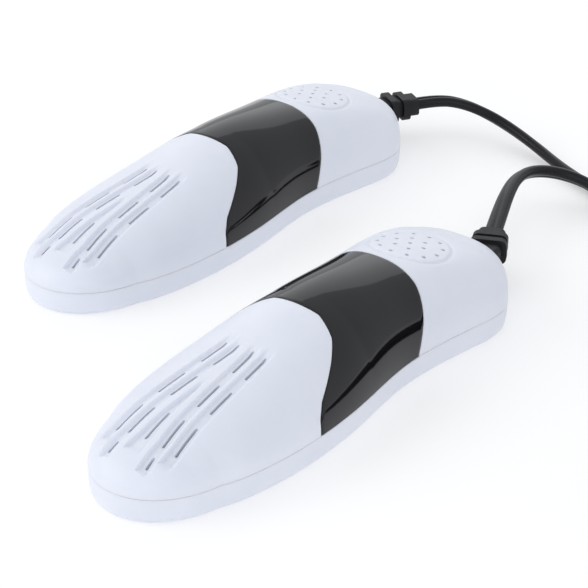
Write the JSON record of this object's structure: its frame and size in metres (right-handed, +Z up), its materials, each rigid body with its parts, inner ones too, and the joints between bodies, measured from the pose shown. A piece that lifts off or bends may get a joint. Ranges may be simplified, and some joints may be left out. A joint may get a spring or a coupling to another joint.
{
  "type": "boot dryer",
  "caption": "Pair of shoe-last shaped electric boot dryers with vented toes and dark waist saddles on one Y lead with a coiled mains cord and plug.",
  "frame": {"origin": "on the floor, at the centre of the box round the two dryers without their cord", "axes": "+Z up; toes point to -Y, heels to +Y; the near dryer is at +X"},
  "size_m": [0.2791, 0.2818, 0.0349],
  "materials": {
    "white_shell": "satin",
    "black_gloss": "gloss",
    "black_rubber": "matt",
    "cord_pvc": "semi-gloss",
    "aluminium": "mill",
    "ceramic": "matt",
    "heatproof_plastic": "matt",
    "shield_sheet": "rolled",
    "cutout_metal": "plain",
    "block_plastic": "satin",
    "screw_steel": "zinc",
    "wire_sleeve": "satin",
    "pin_metal": "nickel"
  },
  "bodies": {
    "pair": {"near_sole_shell": "white_shell", "near_upper_shell": "white_shell", "near_band_cover": "black_gloss", "near_heater_fins": "aluminium", "near_ptc_stones": "ceramic", "near_heater_bracket": "heatproof_plastic", "near_heat_shield": "shield_sheet", "near_thermal_cutout": "cutout_metal", "near_terminal_block": "block_plastic", "near_terminal_screws": "screw_steel", "near_inner_wires": "wire_sleeve", "near_cord_clamp": "heatproof_plastic", "near_clamp_screws": "screw_steel", "near_sole_screws": "screw_steel", "near_cord_grommet": "black_rubber", "near_lead": "cord_pvc", "far_sole_shell": "white_shell", "far_upper_shell": "white_shell", "far_band_cover": "black_gloss", "far_heater_fins": "aluminium", "far_ptc_stones": "ceramic", "far_heater_bracket": "heatproof_plastic", "far_heat_shield": "shield_sheet", "far_thermal_cutout": "cutout_metal", "far_terminal_block": "block_plastic", "far_terminal_screws": "screw_steel", "far_inner_wires": "wire_sleeve", "far_cord_clamp": "heatproof_plastic", "far_clamp_screws": "screw_steel", "far_sole_screws": "screw_steel", "far_cord_grommet": "black_rubber", "far_lead": "cord_pvc", "y_splitter": "black_rubber", "main_cord": "cord_pvc", "cord_coil": "cord_pvc", "cord_tie": "black_rubber", "plug_tail": "cord_pvc", "plug_body": "black_rubber", "plug_pins": "pin_metal"}
  },
  "joints": []
}
